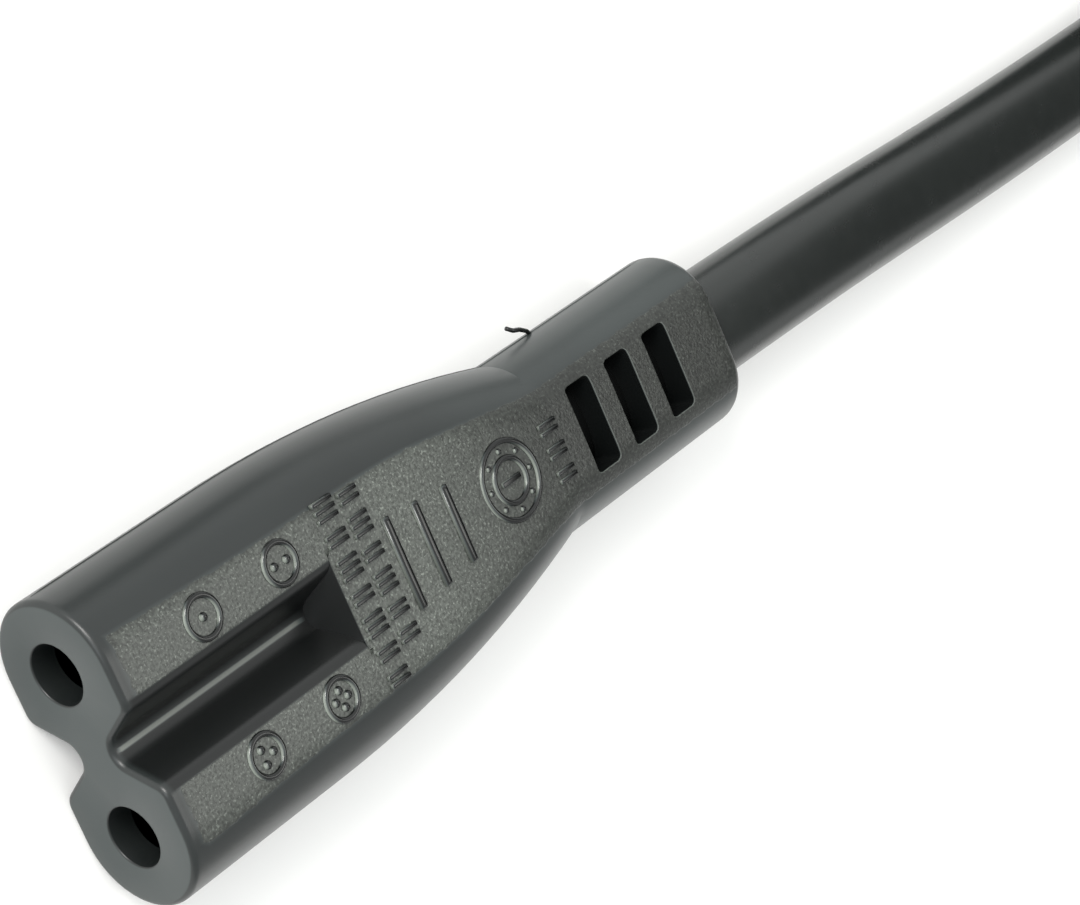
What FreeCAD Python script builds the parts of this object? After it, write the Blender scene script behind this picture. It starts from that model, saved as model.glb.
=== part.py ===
import FreeCAD, Part
import math
import os
from FreeCAD import Vector

# Mains lead: a two-hole figure-eight connector moulded on a flat twin cord that ends in a
# two-pin plug. X runs from the connector's mating face to its cord, Y from hole to hole, Z is
# up. The origin lies on the table, under the middle of the connector.

# Connector, outside
body_length = 48.7
nose_half_width = 8.12
nose_half_height = 3.75
hole_spacing = 8.6
hole_radius = 1.62
front_round = 0.35
waist_half_height = 1.3
groove_bottom_radius = 0.95
groove_wall_angle = 58.0
groove_lip_radius = 0.45
groove_length = 14.8
groove_end_lean = 0.9
taper_start = 12.0
taper_end = 33.0
taper_stations = 7
relief_half_width = 5.17
relief_half_height = 3.44
relief_end_round = 0.9
slot_count = 3
slot_first = 34.8
slot_pitch = 3.53
slot_width = 2.05
slot_length = 5.0
slot_floor = 1.0
bar_places = (19.2, 21.4, 23.7)
bar_longest = 5.06
bar_shortening = 0.4
bar_width = 0.5
bar_height = 0.25

# Connector, inside
face_wall = 1.6
carrier_length = 14.4
carrier_radius = 2.5
carrier_web_half = 0.55
carrier_flange_length = 1.3
carrier_flange_margin = 1.2
entry_radius = 1.45
entry_lip = 0.9
contact_bore = 1.23
contact_wall = 0.35
contact_clearance = 0.05
contact_length = 11.0
contact_slit = 0.5
neck_length = 2.0
neck_step = 0.2
crimp_length = 4.0
strand_radius = 0.5
strand_overlap = 1.0
core_radius = 1.05
core_gap = 0.6
core_lead = 1.7
bared_gap = 0.5
connector_sheath_end = 28.0

# Cord: flat twin sheath, width across Y and height along Z
cord_width = 6.4
cord_height = 4.0
arc_share = 0.45
tail_points = [
    (32.5, -0.1, 3.65),
    (62.0, -1.8, 2.0),
    (91.0, -2.0, 2.0),
]

# Coil of the length that is put away, and its ties
coil_centre_x = 116.2
coil_outer_turn = 36.8
coil_inner_turn = 26.2
coil_layers = 4
coil_play = 0.1
coil_round = 1.6
exit_angle = 187.0
exit_stub = 22.0
exit_bends = (35.0, 58.5)
tie_angles = {"coil_tie_near": 10.0, "coil_tie_far": 190.0}
tie_width = 5.0
tie_thickness = 0.4

# Plug
plug_start = 64.0
plug_relief_length = 14.0
plug_relief_half_width = 5.2
plug_relief_half_height = 4.0
plug_relief_tip_half_width = 4.4
plug_relief_tip_half_height = 3.1
plug_body_length = 34.0
plug_half_width = 17.65
plug_half_height = 6.85
plug_neck_half_width = 6.4
plug_neck_half_height = 5.0
plug_straight = 12.0
plug_stations = 6
plug_face_round = 1.0
plug_slot_count = 3
plug_slot_first = 3.0
plug_slot_pitch = 3.4
plug_slot_width = 1.6
plug_slot_length = 5.4
pin_spacing = 18.6
pin_radius = 2.0
pin_core_radius = 1.5
pin_length = 19.0
pin_tip_round = 1.0
sleeve_length = 10.0
sleeve_radius = 1.84
sleeve_seat = 3.0
bridge_half_width = 13.2
bridge_half_height = 4.4
bridge_length = 8.0
pin_tail = 7.0
plug_sheath_end = 18.0
plug_core_lead = 2.5

face_x = -body_length / 2
mid_z = nose_half_height
tail_route = [(face_x + connector_sheath_end, 0.0, mid_z)] + tail_points
plug_face = plug_relief_length + plug_body_length
pin_tail_x = plug_face - bridge_length - pin_tail
axis_x = Vector(1, 0, 0)
sides = {"left": 1, "right": -1}


def oval_wire(x, half_width, half_height, y=0.0, z=0.0):
    """Flat oval across X: two straight flanks and two round ends."""
    straight = half_width - half_height
    corners = [Vector(x, y + sy * straight, z + sz * half_height)
               for sy, sz in ((1, 1), (-1, 1), (-1, -1), (1, -1))]
    return Part.Wire([
        Part.LineSegment(corners[0], corners[1]).toShape(),
        Part.Arc(corners[1], Vector(x, y - half_width, z), corners[2]).toShape(),
        Part.LineSegment(corners[2], corners[3]).toShape(),
        Part.Arc(corners[3], Vector(x, y + half_width, z), corners[0]).toShape(),
    ])


def oval_bar(x, length, half_width, half_height, y=0.0, z=0.0):
    """Straight bar of flat oval section along X."""
    return Part.Face(oval_wire(x, half_width, half_height, y, z)).extrude(Vector(length, 0, 0))


def rod(x, length, radius, y=0.0, z=0.0):
    """Round rod along X."""
    return Part.makeCylinder(radius, length, Vector(x, y, z), axis_x)


def rounded_end(shape, radius):
    """Shape with the edges of its far end along X rounded."""
    end = shape.BoundBox.XMax
    return shape.makeFillet(radius, [e for e in shape.Edges if e.BoundBox.XMin > end - radius / 2])


def box(x, y, z, size_x, size_y, size_z):
    """Box centred on Y, from x and z upwards."""
    return Part.makeBox(size_x, size_y, size_z, Vector(x, y - size_y / 2, z))


def run_path(points, name=None):
    """Straight runs joined by tangent arcs, each as large as its two runs allow."""
    points = [Vector(*p) for p in points]
    edges = []
    radii = []
    start = points[0]
    for before, here, after in zip(points, points[1:], points[2:]):
        back = before - here
        ahead = after - here
        reach = arc_share * min(back.Length, ahead.Length)
        back.normalize()
        ahead.normalize()
        turn = math.pi - back.getAngle(ahead)
        radius = reach / math.tan(turn / 2)
        bisector = (back + ahead).normalize()
        crown = here + bisector * (radius / math.cos(turn / 2) - radius)
        arc_start = here + back * reach
        arc_end = here + ahead * reach
        edges.append(Part.LineSegment(start, arc_start).toShape())
        edges.append(Part.Arc(arc_start, crown, arc_end).toShape())
        radii.append(radius)
        start = arc_end
    edges.append(Part.LineSegment(start, points[-1]).toShape())
    if name:
        print(name, "arc radii", [round(r, 1) for r in radii])
    return Part.Wire(edges)


def swept(profile, path):
    """Solid of one section carried along a path, with its height kept along Z."""
    shell = Part.BRepOffsetAPI.MakePipeShell(path)
    shell.setBiNormalMode(Vector(0, 0, 1))
    shell.add(profile)
    shell.build()
    shell.makeSolid()
    return shell.shape()


def core(crimp_x, sheath_x, lead, far, z, sign):
    """Insulated core from beside its crimp in to the sheath, drilled for its bared strands."""
    way = math.copysign(1, sheath_x - crimp_x)
    near = core_radius + core_gap / 2
    start = crimp_x + way * bared_gap
    path = run_path([
        (start, sign * far, z),
        (start + way * lead, sign * far, z),
        (sheath_x - way * lead, sign * near, z),
        (sheath_x, sign * near, z),
    ])
    section = Part.Wire(Part.makeCircle(core_radius, Vector(start, sign * far, z), axis_x))
    drilled = rod(min(start, start + way * strand_overlap), strand_overlap, strand_radius, sign * far, z)
    return swept(section, path).cut(drilled)


def taper_half_width(distance):
    """Half width of the connector behind its mating face: straight, then one large arc."""
    run = taper_end - taper_start
    drop = nose_half_width - relief_half_width
    radius = (run ** 2 + drop ** 2) / (2 * drop)
    along = max(0.0, distance - taper_start)
    return nose_half_width - radius + math.sqrt(radius ** 2 - along ** 2)


def taper_half_height(distance):
    """Half height of the connector behind its mating face."""
    share = (distance - taper_start) / (taper_end - taper_start)
    share = min(1.0, max(0.0, share))
    return nose_half_height + (relief_half_height - nose_half_height) * share


def groove_tool():
    """Valley between the two lobes of the nose: round bottom, sloping walls, round lips."""
    wall = math.radians(groove_wall_angle)
    curve = 1 - math.cos(wall)
    foot_y = groove_bottom_radius * math.sin(wall)
    foot_z = waist_half_height + groove_bottom_radius * curve
    head_z = nose_half_height - groove_lip_radius * curve
    head_y = foot_y + (head_z - foot_z) / math.tan(wall)
    flat_edge = head_y + groove_lip_radius * math.sin(wall)
    lip_y = flat_edge - groove_lip_radius * math.sin(wall / 2)
    lip_z = nose_half_height - groove_lip_radius * (1 - math.cos(wall / 2))
    above = nose_half_height + groove_lip_radius

    def point(y, z):
        return Vector(face_x - front_round, y, mid_z + z)

    def half_outline(side):
        top = point(side * flat_edge, above)
        rim = point(side * flat_edge, nose_half_height)
        head = point(side * head_y, head_z)
        foot = point(side * foot_y, foot_z)
        return foot, [
            Part.LineSegment(top, rim).toShape(),
            Part.Arc(rim, point(side * lip_y, lip_z), head).toShape(),
            Part.LineSegment(head, foot).toShape(),
        ]

    left_foot, left_edges = half_outline(1)
    right_foot, right_edges = half_outline(-1)
    bottom = Part.Arc(left_foot, point(0, waist_half_height), right_foot).toShape()
    cover = Part.LineSegment(point(flat_edge, above), point(-flat_edge, above)).toShape()
    outline = Part.Wire(Part.__sortEdges__(left_edges + [bottom, cover] + right_edges))
    valley = Part.Face(outline).extrude(Vector(groove_length + groove_lip_radius, 0, 0))
    lean = groove_end_lean / (nose_half_height - waist_half_height)
    foot_x = face_x + groove_length - groove_end_lean - lean * waist_half_height
    top_x = face_x + groove_length + lean * groove_lip_radius
    side = Part.makePolygon([
        Vector(face_x - front_round, -nose_half_width, mid_z),
        Vector(foot_x, -nose_half_width, mid_z),
        Vector(top_x, -nose_half_width, mid_z + above),
        Vector(face_x - front_round, -nose_half_width, mid_z + above),
        Vector(face_x - front_round, -nose_half_width, mid_z),
    ])
    wedge = Part.Face(side).extrude(Vector(0, 2 * nose_half_width, 0))
    return valley.common(wedge)


def flipped(shape):
    """The same shape on the other side of the connector's middle plane."""
    return shape.mirror(Vector(0, 0, mid_z), Vector(0, 0, 1))


def relief_slots(x, count, pitch, width, length, foot, top, z):
    """Row of slots across a strain relief, down to the sheath on both sides."""
    slots = []
    for number in range(count):
        place = x + number * pitch
        slots.append(box(place, 0, z + foot, width, length, top - foot))
        slots.append(box(place, 0, z - top, width, length, top - foot))
    return slots


def connector_outside():
    """Overmould as one block: nose with both grooves, taper, slotted strain relief, three bars."""
    nose = oval_bar(face_x, taper_start, nose_half_width, nose_half_height, 0, mid_z)
    step = (taper_end - taper_start) / (taper_stations - 1)
    sections = []
    for station in range(taper_stations):
        distance = taper_start + station * step
        half_width = taper_half_width(distance)
        half_height = taper_half_height(distance)
        sections.append(oval_wire(face_x + distance, half_width, half_height, 0, mid_z))
    taper = Part.makeLoft(sections, True, False)
    relief_length = body_length - taper_end
    relief = oval_bar(face_x + taper_end, relief_length, relief_half_width, relief_half_height, 0, mid_z)
    shape = nose.fuse([taper, rounded_end(relief, relief_end_round)])
    valley = groove_tool()
    shape = shape.cut([valley, flipped(valley)])
    rim = [e for e in shape.Edges if e.BoundBox.XMax < face_x + front_round]
    shape = shape.makeFillet(front_round, rim)
    bars = []
    for number, place in enumerate(bar_places):
        foot = mid_z + waist_half_height
        top = mid_z + taper_half_height(place) + bar_height
        length = bar_longest - number * bar_shortening
        bars.append(box(face_x + place - bar_width / 2, 0, foot, bar_width, length, top - foot))
    shape = shape.fuse(bars)
    slots = relief_slots(face_x + slot_first, slot_count, slot_pitch, slot_width, slot_length,
                         slot_floor, relief_half_height + bar_height, mid_z)
    return shape.cut(slots)


def contact_carrier():
    """Premould inside the nose: a sleeve for each contact, a web between and a flange behind."""
    x = face_x + face_wall
    half = hole_spacing / 2
    sleeves = [rod(x, carrier_length, carrier_radius, sign * half, mid_z) for sign in sides.values()]
    web = box(x, 0, mid_z - carrier_web_half, carrier_length, hole_spacing, 2 * carrier_web_half)
    flange_x = x + carrier_length - carrier_flange_length
    flange = oval_bar(flange_x, carrier_flange_length, nose_half_width - carrier_flange_margin,
                      nose_half_height - carrier_flange_margin, 0, mid_z)
    shape = sleeves[0].fuse([sleeves[1], web, flange])
    for sign in sides.values():
        seat = contact_bore + contact_wall + contact_clearance
        shape = shape.cut(rod(x, carrier_length, entry_radius, sign * half, mid_z))
        shape = shape.cut(rod(x + entry_lip, carrier_length, seat, sign * half, mid_z))
    return shape.removeSplitter()


def contact_start():
    """Where the spring sockets begin, behind the carrier's entry lip."""
    return face_x + face_wall + entry_lip


def contact(sign):
    """Rolled spring socket with a slit, a narrower open neck and a crimp barrel."""
    x = contact_start()
    y = sign * hole_spacing / 2
    outer = contact_bore + contact_wall
    shape = rod(x, contact_length + neck_length + crimp_length, outer, y, mid_z)
    shape = shape.cut(rod(x, contact_length, contact_bore, y, mid_z))
    shape = shape.cut(rod(x + contact_length, neck_length, contact_bore - neck_step, y, mid_z))
    shape = shape.cut(rod(crimp_start(), crimp_length, strand_radius, y, mid_z))
    slit = box(x, y, mid_z, contact_length, contact_slit, outer)
    neck = box(x + contact_length, y, mid_z + contact_wall, neck_length, 2 * outer, outer)
    return shape.cut([slit, neck])


def crimp_start():
    """Where the crimp barrels begin, behind the open necks of the contacts."""
    return contact_start() + contact_length + neck_length


def connector_strands(sign):
    """Bare strands from the bottom of one crimp into the core's insulation."""
    length = crimp_length + bared_gap + strand_overlap
    return rod(crimp_start(), length, strand_radius, sign * hole_spacing / 2, mid_z)


def connector_core(sign):
    """Insulated core between one crimp and the sheath's end."""
    sheath_x = face_x + connector_sheath_end
    return core(crimp_start() + crimp_length, sheath_x, core_lead, hole_spacing / 2, mid_z, sign)


def cord_tail():
    """Sheath from inside the strain relief down to the table and on to the coil."""
    x, y, z = tail_route[0]
    section = oval_wire(x, cord_width / 2, cord_height / 2, y, z)
    return swept(section, run_path(tail_route, "cord_tail"))


coil_centre = Vector(coil_centre_x, tail_route[-1][1] + coil_outer_turn, 0)
coil_height = coil_layers * cord_height + (coil_layers - 1) * coil_play
exit_turned = math.radians(exit_angle)
exit_offset = Vector(math.sin(exit_turned), -math.cos(exit_turned), 0) * coil_outer_turn
exit_point = coil_centre + exit_offset + Vector(0, 0, plug_half_height)
exit_rise = coil_height - cord_height / 2 - plug_half_height


def from_exit(shape):
    """Shape drawn along +X from the origin, set along the cord's way out of the coil."""
    shape = shape.copy()
    shape.rotate(Vector(0, 0, 0), Vector(0, 0, 1), exit_angle)
    shape.translate(exit_point)
    return shape


def cord_coil(ties):
    """Closed ring in the coil's outer shape, with the two straight ends that leave it."""
    inside = coil_inner_turn - cord_width / 2
    outside = coil_outer_turn + cord_width / 2
    ring = Part.makeCylinder(outside, coil_height).cut(Part.makeCylinder(inside, coil_height))
    ring = ring.makeFillet(coil_round, [e for e in ring.Edges if len(e.Vertexes) == 1])
    ring.translate(coil_centre)
    end_x, end_y, end_z = tail_route[-1]
    way_in = oval_bar(end_x, coil_centre_x - end_x, cord_width / 2, cord_height / 2, end_y, end_z)
    way_out = from_exit(oval_bar(0, exit_stub, cord_width / 2, cord_height / 2, 0, exit_rise))
    return ring.fuse([way_in, way_out]).cut(ties)


def coil_tie(angle):
    """Flat band round the coil's bundle of turns."""
    inside = coil_inner_turn - cord_width / 2
    outside = coil_outer_turn + cord_width / 2
    across = outside - inside
    over = coil_height + tie_thickness
    band = box(inside - tie_thickness, 0, 0, across + 2 * tie_thickness, tie_width, over)
    band = band.cut(box(inside, 0, tie_thickness, across, tie_width, coil_height - tie_thickness))
    band.rotate(Vector(0, 0, 0), Vector(0, 0, 1), angle)
    band.translate(coil_centre)
    return band


def cord_plug_end():
    """Sheath from the coil's top turn down to the level of the plug and into it."""
    level, foot = exit_bends
    route = [(exit_stub, exit_rise), (level, exit_rise), (foot, 0.0), (plug_start + plug_sheath_end, 0.0)]
    section = oval_wire(exit_stub - plug_start, cord_width / 2, cord_height / 2, 0, exit_rise)
    return swept(section, run_path([(x - plug_start, 0.0, z) for x, z in route], "cord_plug_end"))


def plug_half_sizes(distance):
    """Half width and half height of the plug's body, from its neck to its straight front."""
    run = plug_body_length - plug_straight
    share = min(1.0, distance / run)
    swell = (1 - math.cos(math.pi * share)) / 2
    half_width = plug_neck_half_width + (plug_half_width - plug_neck_half_width) * swell
    half_height = plug_neck_half_height + (plug_half_height - plug_neck_half_height) * swell
    return half_width, half_height


def plug_outside():
    """Plug overmould as one block, along +X from the cord's end of its strain relief."""
    relief = Part.makeLoft([
        oval_wire(0, plug_relief_tip_half_width, plug_relief_tip_half_height),
        oval_wire(plug_relief_length, plug_relief_half_width, plug_relief_half_height),
    ], True, True)
    run = plug_body_length - plug_straight
    sections = []
    for station in range(plug_stations):
        distance = run * station / (plug_stations - 1)
        sections.append(oval_wire(plug_relief_length + distance, *plug_half_sizes(distance)))
    swell = Part.makeLoft(sections, True, False)
    front = oval_bar(plug_relief_length + run, plug_straight, plug_half_width, plug_half_height)
    front = rounded_end(front, plug_face_round)
    slots = relief_slots(plug_slot_first, plug_slot_count, plug_slot_pitch, plug_slot_width,
                         plug_slot_length, slot_floor, plug_relief_half_height, 0)
    return relief.fuse([swell, front]).cut(slots)


def plug_pin(sign):
    """Round pin, thinner under its sleeve and inside the plug, drilled for its strands."""
    y = sign * pin_spacing / 2
    tip = rod(plug_face + sleeve_length, pin_length - sleeve_length, pin_radius, y)
    tip = rounded_end(tip, pin_tip_round)
    stem = rod(pin_tail_x, plug_face + sleeve_length - pin_tail_x, pin_core_radius, y)
    return stem.fuse(tip).removeSplitter().cut(rod(pin_tail_x, pin_tail, strand_radius, y))


def pin_sleeve(sign):
    """Insulating sleeve on the root of one pin, seated in the bridge."""
    y = sign * pin_spacing / 2
    x = plug_face - sleeve_seat
    length = sleeve_seat + sleeve_length
    return rod(x, length, sleeve_radius, y).cut(rod(x, length, pin_core_radius, y))


def plug_bridge(pieces):
    """Hard carrier that holds both pins and their sleeves, flush with the plug's face."""
    x = plug_face - bridge_length
    return oval_bar(x, bridge_length, bridge_half_width, bridge_half_height).cut(pieces)


def plug_core(sign):
    """Insulated core between one pin's tail and the sheath's end."""
    return core(pin_tail_x, plug_sheath_end, plug_core_lead, pin_spacing / 2, 0, sign)


def plug_strands(sign):
    """Bare strands from the bottom of one pin's drilling into the core's insulation."""
    length = strand_overlap + bared_gap + pin_tail
    return rod(pin_tail_x - bared_gap - strand_overlap, length, strand_radius, sign * pin_spacing / 2)


def connector():
    """Every piece of the connector, with the overmould formed round the pieces inside it."""
    nodes = {"contact_carrier": contact_carrier()}
    half = hole_spacing / 2
    filled = []
    for side, sign in sides.items():
        nodes["contact_" + side] = contact(sign)
        nodes["connector_core_" + side] = connector_core(sign)
        nodes["connector_strands_" + side] = connector_strands(sign)
        socket_length = contact_length + neck_length + crimp_length
        y = sign * half
        filled.append(rod(face_x, face_wall, hole_radius, y, mid_z))
        filled.append(rod(face_x + face_wall, carrier_length, carrier_radius, y, mid_z))
        filled.append(rod(contact_start(), socket_length, contact_bore + contact_wall, y, mid_z))
    nodes["cord_tail"] = cord_tail()
    nodes["connector_body"] = connector_outside().cut(filled).cut(list(nodes.values()))
    return nodes


def plug():
    """Every piece of the plug, where it lies beside the coil."""
    nodes = {}
    for side, sign in sides.items():
        nodes["plug_pin_" + side] = plug_pin(sign)
        nodes["pin_sleeve_" + side] = pin_sleeve(sign)
        nodes["plug_core_" + side] = plug_core(sign)
        nodes["plug_strands_" + side] = plug_strands(sign)
    holders = [shape for name, shape in nodes.items() if "pin" in name]
    nodes["plug_bridge"] = plug_bridge(holders)
    nodes["cord_plug_end"] = cord_plug_end()
    nodes["plug_body"] = plug_outside().cut(list(nodes.values()))
    moved = {}
    for name, shape in nodes.items():
        shape.translate(Vector(plug_start, 0, 0))
        moved[name] = from_exit(shape)
    return moved


def main():
    nodes = connector()
    ties = {name: coil_tie(angle) for name, angle in tie_angles.items()}
    nodes["cord_coil"] = cord_coil(list(ties.values()))
    nodes.update(ties)
    nodes.update(plug())
    os.makedirs("parts", exist_ok=True)
    for name, shape in nodes.items():
        print(name, "solids", len(shape.Solids), "valid", shape.isValid(), "volume", round(shape.Volume, 1))
        shape.exportStep("parts/" + name + ".step")


main()
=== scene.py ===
import math

import bmesh
import bpy
from mathutils import Matrix, Vector


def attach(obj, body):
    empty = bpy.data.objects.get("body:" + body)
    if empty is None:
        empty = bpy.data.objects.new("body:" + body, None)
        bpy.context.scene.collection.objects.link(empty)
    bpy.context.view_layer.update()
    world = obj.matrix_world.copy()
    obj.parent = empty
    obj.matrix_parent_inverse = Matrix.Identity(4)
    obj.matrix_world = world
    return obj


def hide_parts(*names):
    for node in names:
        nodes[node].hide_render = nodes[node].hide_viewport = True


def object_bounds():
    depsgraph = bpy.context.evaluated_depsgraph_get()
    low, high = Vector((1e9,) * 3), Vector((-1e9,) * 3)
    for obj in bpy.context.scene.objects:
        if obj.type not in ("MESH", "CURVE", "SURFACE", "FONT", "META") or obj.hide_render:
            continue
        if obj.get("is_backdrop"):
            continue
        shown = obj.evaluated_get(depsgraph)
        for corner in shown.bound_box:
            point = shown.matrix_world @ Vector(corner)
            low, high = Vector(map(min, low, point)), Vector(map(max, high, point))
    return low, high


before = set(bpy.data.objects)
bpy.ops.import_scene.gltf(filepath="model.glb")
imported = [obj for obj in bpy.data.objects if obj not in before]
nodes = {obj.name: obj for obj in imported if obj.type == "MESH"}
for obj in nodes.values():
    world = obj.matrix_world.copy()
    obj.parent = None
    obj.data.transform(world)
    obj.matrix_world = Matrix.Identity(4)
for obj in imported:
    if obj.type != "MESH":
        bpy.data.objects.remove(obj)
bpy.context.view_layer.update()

# Camera: a long lens held close over the mating face. It is turned on its side, so that the
# cord runs away up to the right and the top of the moulding faces right.
photo_width_px = 1080
focal_px = 3312.3
sensor_mm = 36.0
near_clip = 0.01
camera_place = (-0.111784, 0.038781, 0.126914)
camera_sight = (0.68645, -0.22166, -0.69257)
camera_roll = math.radians(-79.19)
camera_data = bpy.data.cameras.new("photo_camera")
camera_data.sensor_fit = "HORIZONTAL"
camera_data.sensor_width = sensor_mm
camera_data.lens = focal_px * sensor_mm / photo_width_px
camera_data.clip_start = near_clip
sight = Vector(camera_sight).normalized()
level = sight.cross(Vector((0, 0, 1))).normalized()
camera_right = Matrix.Rotation(camera_roll, 3, sight) @ level
camera_up = camera_right.cross(sight)
camera_turn = Matrix((camera_right, camera_up, -sight)).transposed().to_4x4()
camera = bpy.data.objects.new("photo_camera", camera_data)
camera.matrix_world = Matrix.Translation(camera_place) @ camera_turn
bpy.context.collection.objects.link(camera)
bpy.context.scene.camera = camera
bpy.context.scene.view_settings.view_transform = "Standard"

# Cord: flat twin lead with an extruded sheath. It runs from inside the strain relief down to
# the table, then turns away into a tied coil of four layers and ends inside its plug.
cord_width = 0.0064
cord_height = 0.0040
cord_start = [
    (0.00365, 0.0, 0.00375),
    (0.0325, -0.0001, 0.00365),
    (0.0620, -0.0018, 0.0020),
    (0.0910, -0.0020, 0.0020),
]
coil_centre = Vector((0.1162, 0.0348, 0.0))
coil_outer_turn = 0.0368
coil_pitch = 0.0065
coil_layers = 4
coil_degrees = 2347.0
coil_steps = 104
coil_low_z = 0.0020
layer_rise = 0.0041
layer_climb_degrees = 100.0
way_out = [(0.0220, 0.0143), (0.0350, 0.0143), (0.0585, 0.00685), (0.0820, 0.00685)]
cord_weld = 1e-6
sheath_colour = (0.0118, 0.0140, 0.0132, 1)
sheath_specular = 0.55
# Painted shade: where the sheath lies inside the strain relief its colour is drawn ten times darker, for
# the shade in the slots over it.
shade_end = 0.0236
daylight_start = 0.0246
shade_inside = 0.1


def coil_turn(degrees):
    """Radius and height of the cord's middle, so many degrees into the coil."""
    layer_degrees = coil_degrees / coil_layers
    layer = min(coil_layers - 1, int(degrees // layer_degrees))
    within = degrees - layer * layer_degrees
    turned_in = layer_degrees - within if layer % 2 else within
    climb = max(0.0, 1 + (within - layer_degrees) / layer_climb_degrees)
    if layer == coil_layers - 1:
        climb = 0.0
    return coil_outer_turn - coil_pitch * turned_in / 360, coil_low_z + layer_rise * (layer + climb)


def cord_route():
    """Control points of the whole lead."""
    points = [Vector(p) for p in cord_start]
    step = coil_degrees / coil_steps
    corner = 1 / math.cos(math.radians(step / 2))
    for number in range(coil_steps):
        degrees = (number - 0.5) * step
        radius, z = coil_turn(max(0.0, degrees))
        turned = math.radians(degrees)
        around = Vector((math.sin(turned), -math.cos(turned), 0)) * radius * corner
        points.append(coil_centre + around + Vector((0, 0, z)))
    turned = math.radians(coil_degrees)
    radius, z = coil_turn(coil_degrees)
    leave = coil_centre + Vector((math.sin(turned), -math.cos(turned), 0)) * radius
    leave.z = z
    ahead = Vector((math.cos(turned), math.sin(turned), 0))
    reach = radius * math.tan(math.radians(step / 2))
    points += [leave - ahead * reach, leave + ahead * reach]
    points += [Vector((leave.x, leave.y, z)) + ahead * past for past, z in way_out]
    return points


def spline_curve(name, points, order=3, steps=8):
    """Curve object of one open smooth line, led by its control points."""
    curve = bpy.data.curves.new(name, "CURVE")
    curve.dimensions = "3D"
    curve.twist_mode = "Z_UP"
    spline = curve.splines.new("NURBS")
    spline.points.add(len(points) - 1)
    for point, place in zip(spline.points, points):
        point.co = (*place, 1.0)
    spline.order_u = order
    spline.use_endpoint_u = True
    spline.resolution_u = steps
    piece = bpy.data.objects.new(name, curve)
    bpy.context.collection.objects.link(piece)
    return piece


def baked_mesh(piece):
    """Mesh of a curve object as it stands now."""
    bpy.context.view_layer.update()
    return bpy.data.meshes.new_from_object(piece.evaluated_get(bpy.context.evaluated_depsgraph_get()))


def sheath_section(points=48, fullness=2.15):
    """Closed outline of the flat sheath: a full oval, crowned over the two cores."""
    outline = []
    for number in range(points):
        angle = math.tau * number / points
        across, high = math.cos(angle), math.sin(angle)
        outline.append((math.copysign(abs(across) ** (2 / fullness), across) * cord_width / 2,
                        math.copysign(abs(high) ** (2 / fullness), high) * cord_height / 2))
    return outline


route = spline_curve("cord_route", cord_route())
line_mesh = baked_mesh(route)
section_data = bpy.data.curves.new("sheath_section", "CURVE")
section_spline = section_data.splines.new("POLY")
section_points = sheath_section()
section_spline.points.add(len(section_points) - 1)
for point, (across, high) in zip(section_spline.points, section_points):
    point.co = (across, high, 0, 1)
section_spline.use_cyclic_u = True
section = bpy.data.objects.new("sheath_section", section_data)
bpy.context.collection.objects.link(section)
route.data.bevel_mode = "OBJECT"
route.data.bevel_object = section
route.data.use_fill_caps = True
cord = bpy.data.objects.new("cord", baked_mesh(route))
bpy.context.collection.objects.link(cord)
cord_bm = bmesh.new()
cord_bm.from_mesh(cord.data)
bmesh.ops.remove_doubles(cord_bm, verts=cord_bm.verts, dist=cord_weld)
bmesh.ops.recalc_face_normals(cord_bm, faces=cord_bm.faces)
for face in cord_bm.faces:
    face.smooth = True
cord_bm.to_mesh(cord.data)
cord_bm.free()
for spare in (route, section):
    bpy.data.objects.remove(spare)


def node_maker(tree):
    """Function that adds a node to a tree, with its settings and what goes into its sockets."""
    def node(kind, links=None, **settings):
        made = tree.nodes.new(kind)
        for key, value in settings.items():
            setattr(made, key, value)
        for socket, value in (links or {}).items():
            if isinstance(value, bpy.types.NodeSocket):
                tree.links.new(value, made.inputs[socket])
            else:
                made.inputs[socket].default_value = value
        return made

    return node


def shader(name):
    """New node material: its node tree, its surface shader and a maker of further nodes."""
    material = bpy.data.materials.new(name)
    material.use_nodes = True
    tree = material.node_tree
    surface = next(n for n in tree.nodes if n.type == "BSDF_PRINCIPLED")
    return material, tree, surface, node_maker(tree)


mottle = bpy.data.node_groups.new("mottle", "ShaderNodeTree")
mottle.interface.new_socket("Colour", in_out="INPUT", socket_type="NodeSocketColor")
mottle.interface.new_socket("Spread", in_out="INPUT", socket_type="NodeSocketFloat")
mottle.interface.new_socket("Scale", in_out="INPUT", socket_type="NodeSocketFloat")
mottle.interface.new_socket("Colour", in_out="OUTPUT", socket_type="NodeSocketColor")
node = node_maker(mottle)
given = node("NodeGroupInput").outputs
place = node("ShaderNodeTexCoord").outputs["Object"]
cloud = node("ShaderNodeTexNoise", {"Vector": place, "Scale": given["Scale"], "Detail": 3.0})
swing = node("ShaderNodeMath", {0: cloud.outputs["Fac"], 1: 0.5}, operation="SUBTRACT")
swing = node("ShaderNodeMath", {0: swing.outputs[0], 1: given["Spread"], 2: 1.0}, operation="MULTIPLY_ADD")
mottled = node("ShaderNodeVectorMath", {0: given["Colour"], "Scale": swing.outputs[0]}, operation="SCALE")
node("NodeGroupOutput", {"Colour": mottled.outputs["Vector"]})

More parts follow.
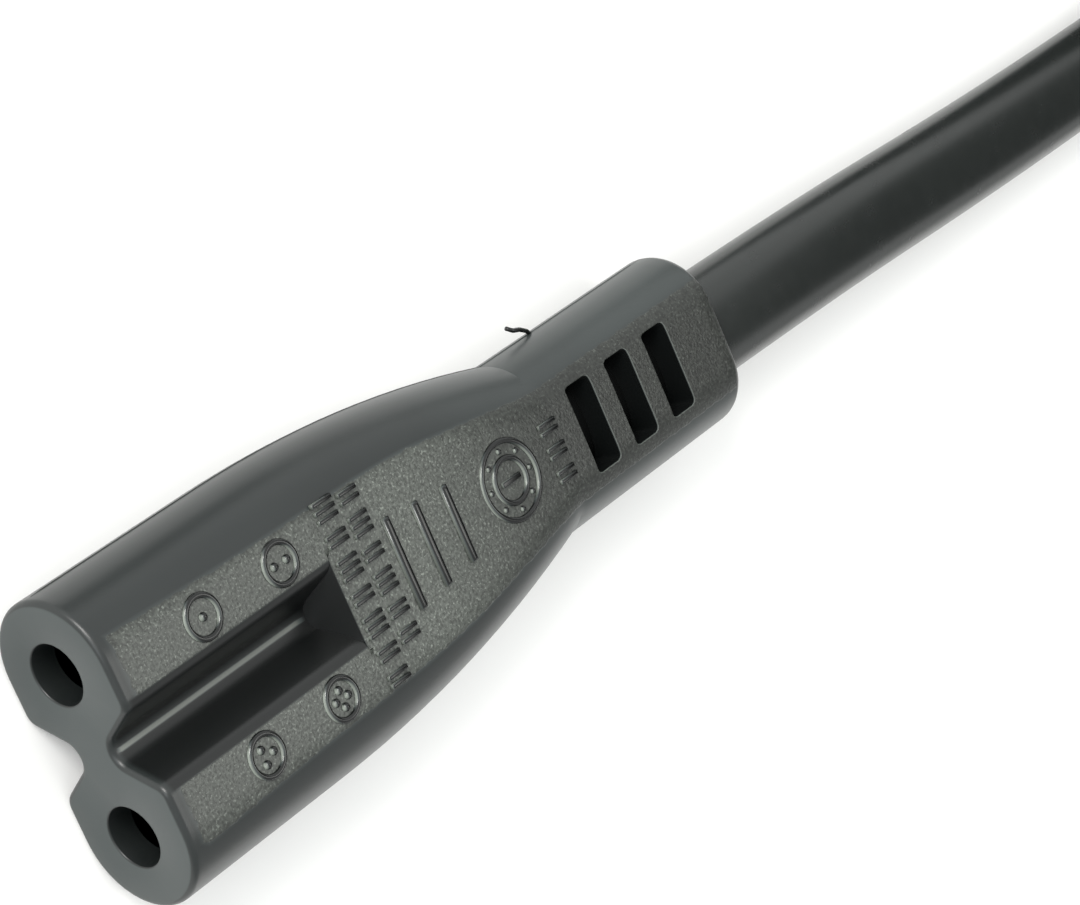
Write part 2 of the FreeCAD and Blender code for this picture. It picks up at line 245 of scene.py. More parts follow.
sheath, tree, surface, node = shader("cord_sheath")
place = node("ShaderNodeTexCoord").outputs["Object"]
behind_face = node("ShaderNodeSeparateXYZ", {0: place}).outputs["X"]
# Painted shade: inside the strain relief the sheath's colour falls to shade_inside of itself.
outside = node("ShaderNodeMapRange", {"Value": behind_face, "From Min": shade_end,
                                      "From Max": daylight_start, "To Min": shade_inside,
                                      "To Max": 1.0}).outputs["Result"]
tinted = node("ShaderNodeGroup", {"Colour": sheath_colour, "Spread": 0.6, "Scale": 60.0}, node_tree=mottle)
painted_shade_sheath = node("ShaderNodeVectorMath", {0: tinted.outputs["Colour"], "Scale": outside}, operation="SCALE")
draw_marks = node("ShaderNodeTexNoise", {"Vector": place, "Scale": 900.0, "Detail": 3.0}).outputs["Fac"]
gloss = node("ShaderNodeMapRange", {"Value": draw_marks, "To Min": 0.22, "To Max": 0.30})
drawn_skin = node("ShaderNodeBump", {"Height": draw_marks, "Strength": 0.05, "Distance": 0.00005})
tree.links.new(painted_shade_sheath.outputs["Vector"], surface.inputs["Base Color"])
surface.inputs["Specular IOR Level"].default_value = sheath_specular
tree.links.new(gloss.outputs["Result"], surface.inputs["Roughness"])
tree.links.new(drawn_skin.outputs["Normal"], surface.inputs["Normal"])
cord.data.materials.clear()
cord.data.materials.append(sheath)
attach(cord, "root")
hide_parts("cord_tail", "cord_coil", "cord_plug_end")
on_cord = ["coil_tie_near", "coil_tie_far", "plug_body", "plug_bridge"]
for stem in ("plug_pin", "pin_sleeve", "plug_core", "plug_strands"):
    on_cord += [stem + "_left", stem + "_right"]

# Floor and light: a plain white table top in a pale studio with a broad soft ceiling. A dark doorway
# stands far off beyond the cord. A soft window lamp stands ahead on the left, a weaker one before
# the mating face and a third hangs over the cord.
floor_half_size = 3.0
floor_colour = (0.80, 0.80, 0.79, 1)
floor_rough = 0.9
floor_specular = 0.1
floor_glow = 0.17
studio_tint = (0.98, 1.0, 0.99)
studio_bands = ((0.0, 0.50), (0.25, 0.56), (0.5, 0.86), (0.62, 0.86), (0.76, 1.12), (1.0, 1.12))
doorway_direction = (0.8902, -0.2055, 0.4067)
doorway_dark_angle = math.radians(17.0)
doorway_clear_angle = math.radians(24.0)
doorway_level = 0.05
window_levels = (0.65, 1.45)
floor_bm = bmesh.new()
bmesh.ops.create_grid(floor_bm, x_segments=1, y_segments=1, size=floor_half_size)
floor = bpy.data.objects.new("table_top", bpy.data.meshes.new("table_top"))
floor_bm.to_mesh(floor.data)
floor_bm.free()
bpy.context.collection.objects.link(floor)
floor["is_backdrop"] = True
table, tree, surface, node = shader("table_white")
surface.inputs["Base Color"].default_value = floor_colour
surface.inputs["Roughness"].default_value = floor_rough
surface.inputs["Specular IOR Level"].default_value = floor_specular
surface.inputs["Emission Color"].default_value = (1, 1, 1, 1)
rays = node("ShaderNodeLightPath").outputs
seen = node("ShaderNodeMath", {0: rays["Is Camera Ray"], 1: rays["Is Glossy Ray"]}, operation="MAXIMUM")
seen = node("ShaderNodeMath", {0: seen.outputs[0], 1: rays["Is Transmission Ray"]}, operation="MAXIMUM")
glow = node("ShaderNodeMath", {0: seen.outputs[0], 1: floor_glow}, operation="MULTIPLY")
tree.links.new(glow.outputs[0], surface.inputs["Emission Strength"])
floor.data.materials.append(table)
world = bpy.data.worlds.new("studio")
world.use_nodes = True
sky = world.node_tree
node = node_maker(sky)
direction = node("ShaderNodeTexCoord").outputs["Generated"]
bearing = node("ShaderNodeSeparateXYZ", {0: direction}).outputs
studio = node("ShaderNodeValToRGB", {"Fac": bearing["Z"]})
for position, brightness in studio_bands:
    if position in (0.0, 1.0):
        stop = studio.color_ramp.elements[int(position)]
    else:
        stop = studio.color_ramp.elements.new(position)
    stop.color = (*(brightness * share for share in studio_tint), 1)
doorway = node("ShaderNodeVectorMath", {0: direction, 1: doorway_direction}, operation="DOT_PRODUCT")
darkness = node("ShaderNodeMapRange", {"Value": doorway.outputs["Value"],
                                       "From Min": math.cos(doorway_clear_angle),
                                       "From Max": math.cos(doorway_dark_angle),
                                       "To Min": 1.0, "To Max": doorway_level},
                interpolation_type="SMOOTHSTEP").outputs["Result"]
window_side = node("ShaderNodeMapRange", {"Value": bearing["Y"], "From Min": -1.0,
                                          "To Min": window_levels[0],
                                          "To Max": window_levels[1]}).outputs["Result"]
strength = node("ShaderNodeMath", {0: darkness, 1: window_side}, operation="MULTIPLY").outputs[0]
background = sky.nodes["Background"]
sky.links.new(studio.outputs["Color"], background.inputs["Color"])
sky.links.new(strength, background.inputs["Strength"])
bpy.context.scene.world = world


def soft_lamp(name, place, size, power, colour):
    """Square studio lamp that faces the object."""
    lamp = bpy.data.lights.new(name, "AREA")
    lamp.size = size
    lamp.energy = power
    lamp.color = colour
    piece = bpy.data.objects.new(name, lamp)
    piece.location = place
    piece.rotation_euler = (-Vector(place)).to_track_quat("-Z", "Y").to_euler()
    bpy.context.collection.objects.link(piece)


soft_lamp("window_lamp", place=(-0.30, 0.33, 0.30), size=0.20, power=2.0, colour=(1.0, 0.98, 0.95))
soft_lamp("ceiling_lamp", place=(0.228, -0.102, 0.433), size=0.18, power=0.35, colour=(1.0, 1.0, 0.96))
soft_lamp("front_lamp", place=(-0.45, 0.08, 0.26), size=0.25, power=0.4, colour=(0.90, 0.95, 1.0))

# Connector body: the soft plastic moulding round the contacts and the cord's end. It is moulded
# in one piece in a two-part tool: grooved nose, arched taper and slotted strain relief, with a
# spark-eroded grain on the flats and polished sides. Its sizes are in millimetres.
mm = 0.001
body_length = 48.7
nose_half_width = 8.12
nose_half_height = 3.75
waist_half_height = 1.3
bottom_radius = 0.95
wall_angle = math.radians(58.0)
lip_radius = 0.9
flat_edge = 2.556
groove_length = 14.8
groove_lean = 0.9 / (nose_half_height - waist_half_height)
groove_edge_drop = 0.1
front_round = 0.35
taper_start = 12.0
taper_end = 33.0
relief_half_width = 5.17
relief_half_height = 3.44
relief_end_round = 0.9
slot_starts = (34.8, 38.33, 41.86)
slot_width = 2.05
slots_end = slot_starts[-1] + slot_width
slot_half_length = 2.5
slot_floor = 1.0
slot_lid_level = 2.5
slot_edge_round = 0.07
slot_corner_round = 0.3
rim_level = 3.0
hole_half_spacing = 4.3
hole_radius = 1.62
hole_edge_round = 0.1
hole_edge_middle = 0.3 * hole_edge_round
hole_depth = 16.0
hole_sides = 48
face_wall = 1.6
seat_radius = 2.5
parting_ridges = ((0.4, 0.0), (1.2, 0.05), (46.8, 0.05), (47.6, 0.0))
ridge_half_width = 0.07
grain_start = 0.6
grain_full = 1.2
grain_borders = ((0.7, 5.3), (10.0, 4.95), (18.0, 4.8), (22.0, 4.6), (25.0, 4.2), (29.0, 3.6),
                 (33.0, 3.1), (48.7, 3.1))
grain_fade = 0.4
nose_stations = (grain_start, grain_full, 2.5, 5.0, 7.5, 10.0, 12.0, 13.2)
taper_stations = (groove_length, 15.2, 16.5, *(18.0 + 1.5 * n for n in range(10)), 32.6, 33.0, 33.4, 34.2)
relief_end_stations = (45.0, 46.2, 47.0, body_length - relief_end_round)
bottom_steps = 12
wall_steps = 8
lip_steps = 8
strip_steps = 6
side_steps = 14
round_steps = 8
body_weld = 0.002
body_sliver = 0.0005
crease_angle = math.radians(10.5)
rim_angle = math.radians(55)
slot_crease_angle = math.radians(20)
slot_crease_reach = 0.3


def along(table, x):
    """Value at x on a line of straight pieces through the table's points."""
    for (x0, v0), (x1, v1) in zip(table, table[1:]):
        if x <= x1:
            return v0 + (v1 - v0) * max(0.0, x - x0) / (x1 - x0)
    return table[-1][1]


def body_half_width(x):
    """Half width of the moulding: straight nose, one large arc, straight relief."""
    run = taper_end - taper_start
    drop = nose_half_width - relief_half_width
    radius = (run ** 2 + drop ** 2) / (2 * drop)
    past = min(run, max(0.0, x - taper_start))
    return nose_half_width - radius + math.sqrt(radius ** 2 - past ** 2)


def body_half_height(x):
    """Half height of the moulding: level nose and relief, with an even fall between."""
    return along(((taper_start, nose_half_height), (taper_end, relief_half_height)), x)


def groove_line():
    """Groove's section from its bottom up to the edge of the flat: round bottom, wall, round lip."""
    line = []
    for number in range(bottom_steps + 1):
        angle = wall_angle * number / bottom_steps
        line.append((bottom_radius * math.sin(angle),
                     waist_half_height + bottom_radius * (1 - math.cos(angle))))
    lip = []
    for number in range(lip_steps + 1):
        angle = wall_angle * (1 - number / lip_steps)
        lip.append((flat_edge - lip_radius * math.sin(angle),
                    nose_half_height - lip_radius * (1 - math.cos(angle))))
    (foot_y, foot_z), (head_y, head_z) = line[-1], lip[0]
    for number in range(1, wall_steps):
        share = number / wall_steps
        line.append((foot_y + (head_y - foot_y) * share, foot_z + (head_z - foot_z) * share))
    return line + lip


def quarter(x, grooved):
    """Quarter of the section at x, from the middle of the top round to the parting line."""
    half_width = body_half_width(x)
    half_height = body_half_height(x)
    centre = half_width - half_height

    def top(y):
        past = max(0.0, y - centre)
        return math.sqrt(half_height ** 2 - past ** 2)

    edge = along(((groove_length, flat_edge), (slot_starts[0], slot_half_length)), x)
    border = along(grain_borders, x)
    groove_steps = bottom_steps + wall_steps + lip_steps
    if grooved:
        line = groove_line()
    else:
        line = [(edge * n / groove_steps, top(edge * n / groove_steps)) for n in range(groove_steps + 1)]
    for number in range(1, strip_steps + 1):
        y = edge + (border - edge) * number / strip_steps
        line.append((y, top(y)))
    start = math.asin((border + grain_fade - centre) / half_height)
    stop = math.acos(ridge_half_width / half_height)
    for number in range(side_steps + 1):
        angle = start + (stop - start) * number / side_steps
        line.append((centre + half_height * math.sin(angle), half_height * math.cos(angle)))
    line.append((half_width + along(parting_ridges, x), 0.0))
    return line


def whole(line):
    """Closed section from a quarter: right round from the top's middle, over +Y first."""
    back = line[-2::-1]
    lower = [(y, -z) for y, z in back]
    far = [(-y, -z) for y, z in line[1:]]
    upper = [(-y, z) for y, z in back[:-1]]
    return line + lower + far + upper


def inset_section(section, depth):
    """Section moved in by a depth, square to its own line."""
    moved = []
    for before, here, after in zip(section[-1:] + section[:-1], section, section[1:] + section[:1]):
        run = Vector((after[0] - before[0], after[1] - before[1])).normalized()
        moved.append((here[0] + run.y * depth, here[1] - run.x * depth))
    return moved


def ring(bm, places):
    """Closed loop of new edges through these places."""
    verts = [bm.verts.new(p) for p in places]
    return [bm.edges.new((a, b)) for a, b in zip(verts, verts[1:] + verts[:1])]


def corner_inset(y):
    """How far a slot's long side draws in at its round corners, fading out beyond its end."""
    past = max(0.0, y - slot_half_length + slot_corner_round)
    if past > slot_corner_round:
        return max(0.0, slot_corner_round - (past - slot_corner_round) / 2)
    return slot_corner_round - math.sqrt(slot_corner_round ** 2 - past ** 2)


def body_rings():
    """Loops of the moulding from the front face to the cord's end, as lists of places."""
    rings = []
    front = whole(quarter(0.0, True))
    for number in range(round_steps + 1):
        angle = math.pi / 2 * number / round_steps
        section = inset_section(front, front_round * (1 - math.sin(angle)))
        rings.append([(front_round * (1 - math.cos(angle)), y, z) for y, z in section])
    for x in nose_stations:
        rings.append([(x, y, z) for y, z in whole(quarter(x, True))])
    foot = groove_length - groove_lean * (nose_half_height - waist_half_height)
    end_wall = []
    for y, z in whole(quarter(groove_length, True)):
        inside = abs(y) < flat_edge
        rise = abs(z) - waist_half_height
        end_wall.append((foot + groove_lean * rise if inside else groove_length, y, z))
    rings.append(end_wall)
    wall_top = []
    for y, z in whole(quarter(groove_length, False)):
        inside = abs(y) < flat_edge and abs(z) > waist_half_height
        drop = groove_edge_drop if inside else 0.0
        wall_top.append((groove_length - groove_lean * drop, y, z - math.copysign(drop, z)))
    rings.append(wall_top)
    for x in taper_stations:
        rings.append([(x, y, z) for y, z in whole(quarter(x, False))])
    for start in slot_starts:
        for x, inward in ((start, 1), (start + slot_width, -1)):
            rings.append([(x + inward * corner_inset(abs(y)), y, z) for y, z in whole(quarter(x, False))])
    for x in relief_end_stations:
        rings.append([(x, y, z) for y, z in whole(quarter(x, False))])
    last = relief_end_stations[-1]
    end = whole(quarter(last, False))
    for number in range(1, round_steps + 1):
        angle = math.pi / 2 * number / round_steps
        section = inset_section(end, relief_end_round * (1 - math.cos(angle)))
        rings.append([(last + relief_end_round * math.sin(angle), y, z) for y, z in section])
    return rings


def hole_ring(bm, x, radius, y):
    """Loop of new edges round a hole in the plane at x."""
    turns = [math.tau * n / hole_sides for n in range(hole_sides)]
    return ring(bm, [(x, y + radius * math.cos(turn), radius * math.sin(turn)) for turn in turns])


def settle(bm):
    """Carries a shape from its place behind the mating face to its place on the table, in metres."""
    bmesh.ops.translate(bm, verts=bm.verts, vec=(-body_length / 2, 0, nose_half_height))
    bmesh.ops.scale(bm, verts=bm.verts, vec=(mm, mm, mm))


body_bm = bmesh.new()
loops = [ring(body_bm, places) for places in body_rings()]
for near, far in zip(loops, loops[1:]):
    bmesh.ops.bridge_loops(body_bm, edges=near + far)
front_edges = list(loops[0])
hole_steps = (
    (0.0, hole_radius + hole_edge_round),
    (hole_edge_middle, hole_radius + hole_edge_middle),
    (hole_edge_round, hole_radius),
    (face_wall, hole_radius),
    (face_wall, seat_radius),
    (hole_depth, seat_radius),
)
for side in (1, -1):
    mouth = [hole_ring(body_bm, x, radius, side * hole_half_spacing) for x, radius in hole_steps]
    front_edges += mouth[0]
    for near, far in zip(mouth, mouth[1:]):
        bmesh.ops.bridge_loops(body_bm, edges=near + far)
    bmesh.ops.edgeloop_fill(body_bm, edges=mouth[-1])
bmesh.ops.triangle_fill(body_bm, use_beauty=True, edges=front_edges)
bmesh.ops.edgeloop_fill(body_bm, edges=loops[-1])
bmesh.ops.remove_doubles(body_bm, verts=body_bm.verts, dist=body_weld)
bmesh.ops.recalc_face_normals(body_bm, faces=body_bm.faces)
for face in body_bm.faces:
    face.smooth = True
for edge in body_bm.edges:
    middle = (edge.verts[0].co + edge.verts[1].co) / 2
    if middle.x > front_round and edge.calc_face_angle(0.0) > crease_angle:
        edge.smooth = False
for start in slot_starts:
    for up in (1, -1):
        lid = []
        for face in body_bm.faces:
            centre = face.calc_center_median()
            over_slot = start < centre.x < start + slot_width and abs(centre.y) < slot_half_length
            if over_slot and up * centre.z > slot_lid_level:
                lid.append(face)
        pushed = bmesh.ops.extrude_face_region(body_bm, geom=lid)["geom"]
        for vert in (v for v in pushed if isinstance(v, bmesh.types.BMVert)):
            vert.co.z = up * slot_floor
        bmesh.ops.delete(body_bm, geom=[f for f in lid if f.is_valid], context="FACES_ONLY")
bmesh.ops.recalc_face_normals(body_bm, faces=body_bm.faces)
rims = [e for e in body_bm.edges if e.calc_face_angle(0.0) > rim_angle
        and min(abs(v.co.z) for v in e.verts) > rim_level and e.is_convex]
bmesh.ops.bevel(body_bm, geom=rims, offset=slot_edge_round, offset_type="OFFSET", affect="EDGES",
                segments=2, profile=0.5, material=-1, clamp_overlap=False)
bmesh.ops.dissolve_degenerate(body_bm, dist=body_sliver, edges=body_bm.edges)
for edge in body_bm.edges:
    at_slots = all(slot_starts[0] - slot_crease_reach < v.co.x < slots_end + slot_crease_reach
                   for v in edge.verts)
    if at_slots and edge.calc_face_angle(0.0) > slot_crease_angle:
        edge.smooth = False

# Painted light: the mating face is drawn about three times lighter than the polished sides of the same
# plastic, for the lamp light that falls on it.
front_lit_tone = 0.052
# Painted shade: the holes' walls are drawn darker than the mating face, for the shade inside them.
hole_shade_tone = 0.012
# Painted shade: the grooves and the slots' walls and floors are drawn nearly black, for the shade that
# fills them.
deep_shade_tone = 0.005
# Painted highlight: a pale line along the groove's bottom, fading out a little way up its walls, for the
# reflection of the overhead light.
valley_highlight_tone = 0.120
valley_half_width = 0.09
valley_fade = 0.5
valley_fade_rise = 0.2
valley_highlight_fade_tone = 0.12 * valley_highlight_tone
valley_end = 13.5
side_tones = ((0.0, 0.018), (24.0, 0.020), (33.0, 0.034), (48.7, 0.037))
# Grained flats: lighter than the polished sides for their grain, and drawn brightest about 20 mm behind
# the mating face and darker towards the cord, a painted reflection of the studio's ceiling.
flat_grain_and_sheen_tones = ((1.0, 0.053), (14.0, 0.062), (20.0, 0.082), (25.0, 0.060), (29.0, 0.036), (34.0, 0.023),
              (48.7, 0.024))
flat_share = 0.8
# Painted highlight: a pale line on the slots' rims where they turn towards the mating face, and on the -Y
# side where they turn towards +Y, in the window lamp's direction.
slot_lip_highlight_tone = 0.110
slot_lip_reach = 0.1
lip_turn_x = -0.25
lip_turn_y = 0.1
hair = 0.01
skin_depth = 0.05


def body_finish(vert):
    """Tone of the plastic at a point of the moulding, and whether it is grained. The tones hold painted
    shade in the holes, grooves and slots, painted highlights on the groove's bottom and the slots' rims,
    painted light on the mating face and a painted reflection along the flats.
    """
    x, y, z = vert.co.x, abs(vert.co.y), abs(vert.co.z)
    crest = body_half_height(x)
    skin = math.sqrt(max(0.0, crest ** 2 - max(0.0, y - body_half_width(x) + crest) ** 2))
    from_hole = math.hypot(y - hole_half_spacing, z)
    if 2 * hair < x < hole_depth + hair and from_hole < seat_radius + skin_depth:
        return hole_shade_tone, 0.0
    at_lip = slot_starts[0] < x < slots_end + slot_lip_reach and y < slot_half_length + slot_lip_reach
    lamp_facing = vert.normal.x < lip_turn_x or (vert.co.y < 0 and vert.normal.y > lip_turn_y)
    if at_lip and lamp_facing and skin - skin_depth < z < skin + hair:
        return slot_lip_highlight_tone, 0.0
    in_groove = front_round < x < groove_length and y < flat_edge - 2 * hair
    in_groove = in_groove and z < nose_half_height - 2 * hair
    if in_groove and x < valley_end and y < valley_half_width and z < waist_half_height + skin_depth:
        return valley_highlight_tone, 0.0
    by_valley = 0 < vert.co.y < valley_fade and z < waist_half_height + valley_fade_rise
    if in_groove and x < valley_end and by_valley:
        return valley_highlight_fade_tone, 0.0
    in_slot = slot_starts[0] - hair < x < slots_end + hair and y < slot_half_length + hair
    if in_groove or (in_slot and z < skin - skin_depth):
        return deep_shade_tone, 0.0
    behind_front = grain_full - hair < x < body_length - hair
    if behind_front and z > crest * flat_share and y < along(grain_borders, x) + hair:
        return along(flat_grain_and_sheen_tones, x), 1.0
    if x < 2 * hair:
        return front_lit_tone, 0.0
    return along(side_tones, x), 0.0


tone = body_bm.verts.layers.float.new("tone")
grain = body_bm.verts.layers.float.new("grain")
body_bm.normal_update()
for vert in body_bm.verts:
    vert[tone], vert[grain] = body_finish(vert)
settle(body_bm)

smooth_hue = (0.82, 0.99, 0.98, 1)
grain_hue = (0.91, 1.0, 0.89, 1)
pvc_specular = 0.48
pvc, tree, surface, node = shader("moulded_pvc")
place = node("ShaderNodeTexCoord").outputs["Object"]
eroded = node("ShaderNodeAttribute", attribute_name="grain").outputs["Fac"]
shade = node("ShaderNodeAttribute", attribute_name="tone").outputs["Fac"]
polish = node("ShaderNodeAttribute", attribute_name="polish").outputs["Fac"]
ragged = node("ShaderNodeTexNoise", {"Vector": place, "Scale": 1800.0, "Detail": 3.0}).outputs["Fac"]
border = node("ShaderNodeMath", {0: ragged, 1: 0.8, 2: eroded}, operation="MULTIPLY_ADD").outputs[0]
mask = node("ShaderNodeMapRange", {"Value": border, "From Min": 0.78, "From Max": 0.98},
            interpolation_type="SMOOTHSTEP").outputs["Result"]
pits = node("ShaderNodeTexNoise", {"Vector": place, "Scale": 5600.0, "Detail": 2.0,
                                   "Roughness": 0.6}).outputs["Fac"]
sparks = node("ShaderNodeTexNoise", {"Vector": place, "Scale": 7200.0, "Detail": 1.0}).outputs["Fac"]
pale = node("ShaderNodeMapRange", {"Value": shade, "From Min": 0.055, "From Max": 0.10}).outputs["Result"]
warm = node("ShaderNodeMath", {0: mask, 1: pale}, operation="MAXIMUM").outputs[0]
hue = node("ShaderNodeMix", {"Factor": warm, 6: smooth_hue, 7: grain_hue}, data_type="RGBA").outputs[2]
speckle = node("ShaderNodeMapRange", {"Value": pits, "From Min": 0.36, "From Max": 0.66,
                                      "To Min": 0.6, "To Max": 1.4}).outputs["Result"]
glint = node("ShaderNodeMapRange", {"Value": sparks, "From Min": 0.60, "From Max": 0.72,
                                    "To Max": 1.6}).outputs["Result"]
grained = node("ShaderNodeMath", {0: speckle, 1: glint}, operation="ADD").outputs[0]
lightness = node("ShaderNodeMix", {"Factor": mask, 2: 1.0, 3: grained}).outputs[0]
lightness = node("ShaderNodeMath", {0: shade, 1: lightness}, operation="MULTIPLY").outputs[0]
colour = node("ShaderNodeVectorMath", {0: hue, "Scale": lightness}, operation="SCALE").outputs["Vector"]
clouded = node("ShaderNodeGroup", {"Colour": colour, "Spread": 0.5, "Scale": 120.0}, node_tree=mottle)
tree.links.new(clouded.outputs["Colour"], surface.inputs["Base Color"])
rough = node("ShaderNodeMapRange", {"Value": polish, "To Min": 0.34, "To Max": 0.20})
tree.links.new(rough.outputs["Result"], surface.inputs["Roughness"])
surface.inputs["Specular IOR Level"].default_value = pvc_specular
grain_height = node("ShaderNodeMath", {0: pits, 1: mask}, operation="MULTIPLY").outputs[0]
bumps = node("ShaderNodeBump", {"Height": grain_height, "Strength": 0.5, "Distance": 0.00005})
tree.links.new(bumps.outputs["Normal"], surface.inputs["Normal"])


def moulded(bm, name):
    """New piece of the connector's plastic from a settled mesh."""
    piece = bpy.data.objects.new(name, bpy.data.meshes.new(name))
    bm.to_mesh(piece.data)
    bm.free()
    piece.data.materials.append(pvc)
    bpy.context.collection.objects.link(piece)
    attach(piece, "root")
    return piece


body = moulded(body_bm, "connector_moulding")
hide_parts("connector_body")

# Raised bars: three ridges across the taper that shorten towards the cord. They are moulded on
# with the body, of the same plastic, and carry the raised marks' painted highlight and shade.
# Painted light and shade of the raised marks: sides that face the mating face are drawn pale as a painted
# highlight, tops and the rest nearly black as painted shade.
mark_highlight_and_shade_tones = ((-0.8, 0.300), (-0.65, 0.110), (-0.4, 0.003), (1.0, 0.002))
bar_places = ((19.2, 2.53), (21.4, 2.33), (23.7, 2.13))
bar_width = 0.5
bar_height = 0.25
bar_edge_round = 0.2
root_depth = 0.3


def raised_block(bm, x, y, along_x, along_y, height, edge_round):
    """Small block that stands on the top face, with its upper edges rounded."""
    middle_z = body_half_height(x) + (height - root_depth) / 2
    size = Matrix.Diagonal((along_x, along_y, height + root_depth, 1))
    cube = bmesh.ops.create_cube(bm, size=1.0, matrix=Matrix.Translation((x, y, middle_z)) @ size)
    edges = dict.fromkeys(e for v in cube["verts"] for e in v.link_edges)
    top = [e for e in edges if all(v.co.z > middle_z for v in e.verts)]
    bmesh.ops.bevel(bm, geom=top, offset=edge_round, offset_type="OFFSET", affect="EDGES", segments=5,
                    profile=0.5, material=-1, clamp_overlap=True)


def moulded_on(bm, name, tones=mark_highlight_and_shade_tones):
    """New raised mark on the body: smoother than the grain, with painted highlight and shade in its tones
    by the way its skin faces.
    """
    bmesh.ops.recalc_face_normals(bm, faces=bm.faces)
    for face in bm.faces:
        face.smooth = True
    settle(bm)
    tone = bm.verts.layers.float.new("tone")
    polish = bm.verts.layers.float.new("polish")
    bm.normal_update()
    for vert in bm.verts:
        vert[tone] = along(tones, vert.normal.x)
        vert[polish] = 1.0
    moulded(bm, name)


bars_bm = bmesh.new()
for x, half_length in bar_places:
    raised_block(bars_bm, x, 0.0, bar_width, 2 * half_length, bar_height, bar_edge_round)
moulded_on(bars_bm, "raised_bars")

# Cavity numbers: four raised rings on the nose, each with one to four pips, as a moulder counts
# the cavities of a tool. Same plastic, moulded on with the body.
cavity_rings = ((6.26, 3.7, 1), (11.86, 3.7, 2), (6.26, -3.7, 3), (11.86, -3.7, 4))
ring_radius = 1.05
ring_section = 0.17
pip_radius = 0.24
pip_circle = 0.45


def raised_ring(bm, x, y, radius, section):
    """Round wire ring, half sunk in the top face."""
    start = Matrix.Translation((radius, 0, 0)) @ Matrix.Rotation(math.pi / 2, 4, "X")
    loop = bmesh.ops.create_circle(bm, cap_ends=False, segments=10, radius=section, matrix=start)["verts"]
    edges = dict.fromkeys(e for v in loop for e in v.link_edges)
    bmesh.ops.spin(bm, geom=list(edges), cent=(0, 0, 0), axis=(0, 0, 1), angle=math.tau, steps=48,
                   use_merge=True)
    made = [v for v in bm.verts if not v.tag]
    bmesh.ops.translate(bm, verts=made, vec=(x, y, body_half_height(x)))
    for vert in made:
        vert.tag = True


def raised_pip(bm, x, y, radius):
    """Small dome that stands on the top face."""
    place = Matrix.Translation((x, y, body_half_height(x)))
    dome = bmesh.ops.create_uvsphere(bm, u_segments=14, v_segments=8, radius=radius, matrix=place)
    for vert in dome["verts"]:
        vert.tag = True


def pips_round(bm, x, y, count, reach, radius):
    """Pips evenly set on a circle."""
    for number in range(count):
        angle = math.tau * number / count
        raised_pip(bm, x + reach * math.cos(angle), y + reach * math.sin(angle), radius)


rings_bm = bmesh.new()
for x, y, count in cavity_rings:
    raised_ring(rings_bm, x, y, ring_radius, ring_section)
    pips_round(rings_bm, x, y, count, pip_circle if count > 1 else 0.0, pip_radius)
moulded_on(rings_bm, "cavity_numbers")

# Mould dial: a raised double ring with a pointer and a ring of ticks before the slots, as tool
# makers set into a mould. Same plastic, moulded on with the body.
dial_x = 28.4
dial_y = 0.2
dial_radii = (2.1, 1.2)
dial_ticks = 8
tick_radius = 0.17
pointer_length = 1.5
pointer_width = 0.3
pointer_height = 0.16
pointer_edge_round = 0.08
dial_bm = bmesh.new()
for radius in dial_radii:
    raised_ring(dial_bm, dial_x, dial_y, radius, ring_section)
pips_round(dial_bm, dial_x, dial_y, dial_ticks, sum(dial_radii) / 2, tick_radius)
raised_block(dial_bm, dial_x, dial_y, pointer_length, pointer_width, pointer_height, pointer_edge_round)
moulded_on(dial_bm, "mould_dial")

# Plain strokes: two rows of short raised strokes behind the groove and a third before the slots,
# in small groups. They are cut into the tool and moulded on with the body, of the same plastic.
stroke_rows = ((15.8, 5.1, 1.45, "11101101110110111011011"), (17.6, 4.8, 1.35, "1101110110111011011"),
               (32.4, 1.6, 1.4, "11011011"))
stroke_pitch = 0.45
stroke_width = 0.24
stroke_height = 0.2
stroke_edge_round = 0.11
stroke_reach = 0.3
strokes_bm = bmesh.new()
for x, first_y, length, pattern in stroke_rows:
    for number, mark in enumerate(pattern):
        y = first_y - number * stroke_pitch
        if mark == "1" and abs(y) < along(grain_borders, x) + stroke_reach:
            raised_block(strokes_bm, x, y, length, stroke_width, stroke_height, stroke_edge_round)
moulded_on(strokes_bm, "plain_strokes")

# Burr: a hair of plastic that stood out of the tool's parting line on the +Y side of the strain
# relief. It is part of the moulding and as dark as the bottom of the grooves.
burr_line = ((37.6, 5.0, 0.0), (37.3, 5.4, 0.05), (36.8, 5.7, 0.1), (36.3, 5.85, 0.12), (35.9, 6.15, 0.1))
burr_radius = 0.13
burr_sides = 8
burr_tones = ((-1.0, deep_shade_tone), (1.0, deep_shade_tone))
burr_bm = bmesh.new()
burr_points = [Vector(p) for p in burr_line]
burr_turns = [math.tau * n / burr_sides for n in range(burr_sides)]
points_before = burr_points[:1] + burr_points[:-1]
points_after = burr_points[1:] + burr_points[-1:]
upward = Vector((0, 0, burr_radius))
hoops = []
for before, here, after in zip(points_before, burr_points, points_after):
    across = (after - before).cross(Vector((0, 0, 1))).normalized() * burr_radius
    hoops.append(ring(burr_bm, [here + across * math.cos(t) + upward * math.sin(t) for t in burr_turns]))
for near, far in zip(hoops, hoops[1:]):
    bmesh.ops.bridge_loops(burr_bm, edges=near + far)
for hoop in (hoops[0], hoops[-1]):
    bmesh.ops.edgeloop_fill(burr_bm, edges=hoop)
moulded_on(burr_bm, "parting_burr", burr_tones)

# Contacts: spring sockets behind the holes, rolled from bronze strip and slit. They are crimped on
# the bare copper strands of the cord, and the strands at the far end go into the plug's pins.
fine_mottle = 300.0


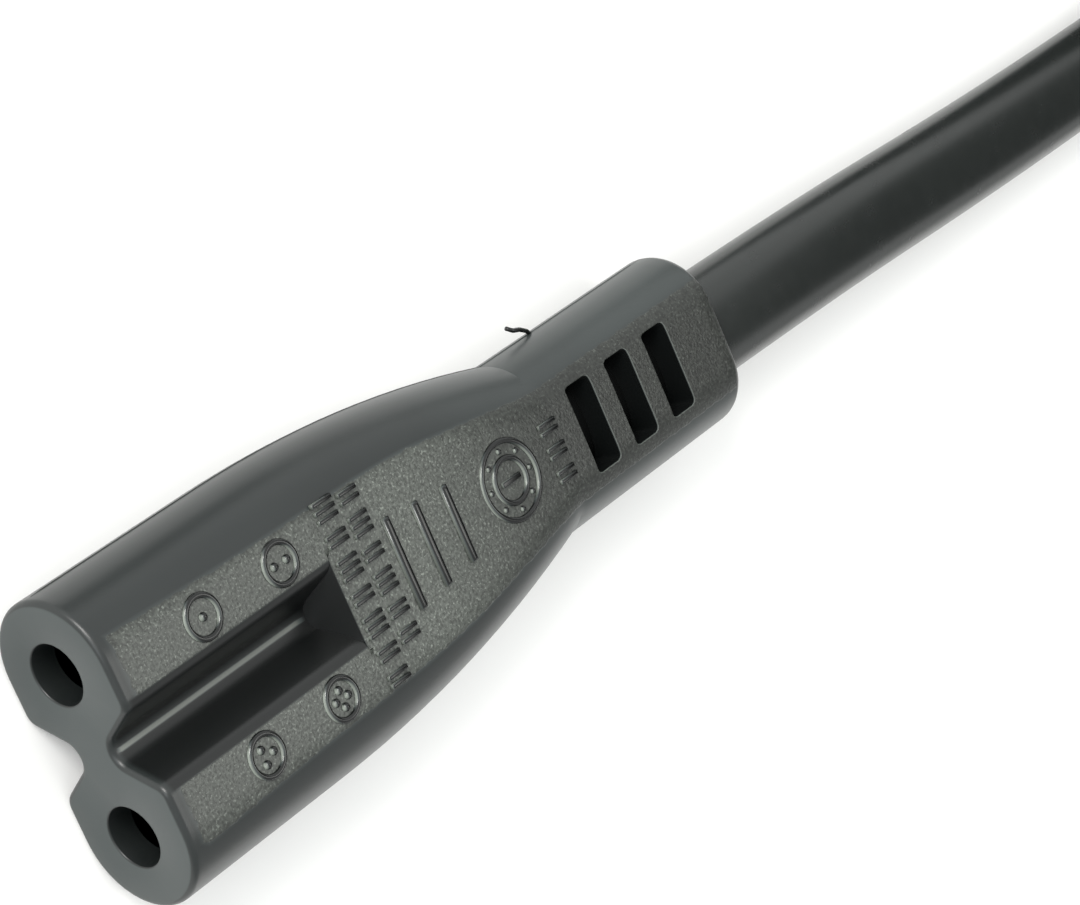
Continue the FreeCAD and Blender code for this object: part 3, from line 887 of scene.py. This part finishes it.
def plain_material(name, colour, rough, metal=0.0, spread=0.5):
    """Even material with a faint mottle in its colour."""
    material, tree, surface, node = shader(name)
    tinted = node("ShaderNodeGroup", {"Colour": (*colour, 1), "Spread": spread, "Scale": fine_mottle},
                  node_tree=mottle)
    tree.links.new(tinted.outputs["Colour"], surface.inputs["Base Color"])
    surface.inputs["Roughness"].default_value = rough
    surface.inputs["Metallic"].default_value = metal
    return material


def dress(material, *names):
    """Puts a material on solids that keep their form."""
    for name in names:
        nodes[name].data.materials.clear()
        nodes[name].data.materials.append(material)


dress(plain_material("spring_bronze", (0.45, 0.32, 0.16), 0.35, 1.0), "contact_left", "contact_right")
dress(plain_material("bare_copper", (0.60, 0.27, 0.14), 0.35, 1.0), "connector_strands_left",
      "connector_strands_right", "plug_strands_left", "plug_strands_right")

# Carrier: stiff dark premould that holds both contacts inside the nose. The overmould hides it
# but for its lips in the holes.
dress(plain_material("carrier_black", (0.015, 0.016, 0.016), 0.5), "contact_carrier")

# Cores: brown and blue insulation, extruded round the copper strands. They run from the sheath's
# ends to the crimps and to the pins, buried in both mouldings.
dress(plain_material("core_brown", (0.16, 0.06, 0.03), 0.4), "connector_core_left", "plug_core_left")
dress(plain_material("core_blue", (0.03, 0.12, 0.40), 0.4), "connector_core_right", "plug_core_right")

# Ties: two flat dark bands of soft plastic, one on each side of the coil. Each goes right round
# the turns of the cord and holds them together.
dress(plain_material("tie_black", (0.02, 0.02, 0.02), 0.5), "coil_tie_near", "coil_tie_far")

# Plug: slim two-pin plug of the same plastic as the connector, with a hard dark bridge round the
# nickel pins and smooth dark sleeves on their roots.
dress(plain_material("plug_pvc", (0.030, 0.032, 0.031), 0.4), "plug_body")
dress(plain_material("bridge_black", (0.03, 0.03, 0.03), 0.45), "plug_bridge")
dress(plain_material("pin_nickel", (0.70, 0.68, 0.64), 0.25, 1.0, 0.15), "plug_pin_left", "plug_pin_right")
dress(plain_material("sleeve_black", (0.02, 0.02, 0.02), 0.35), "pin_sleeve_left", "pin_sleeve_right")

low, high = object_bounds()
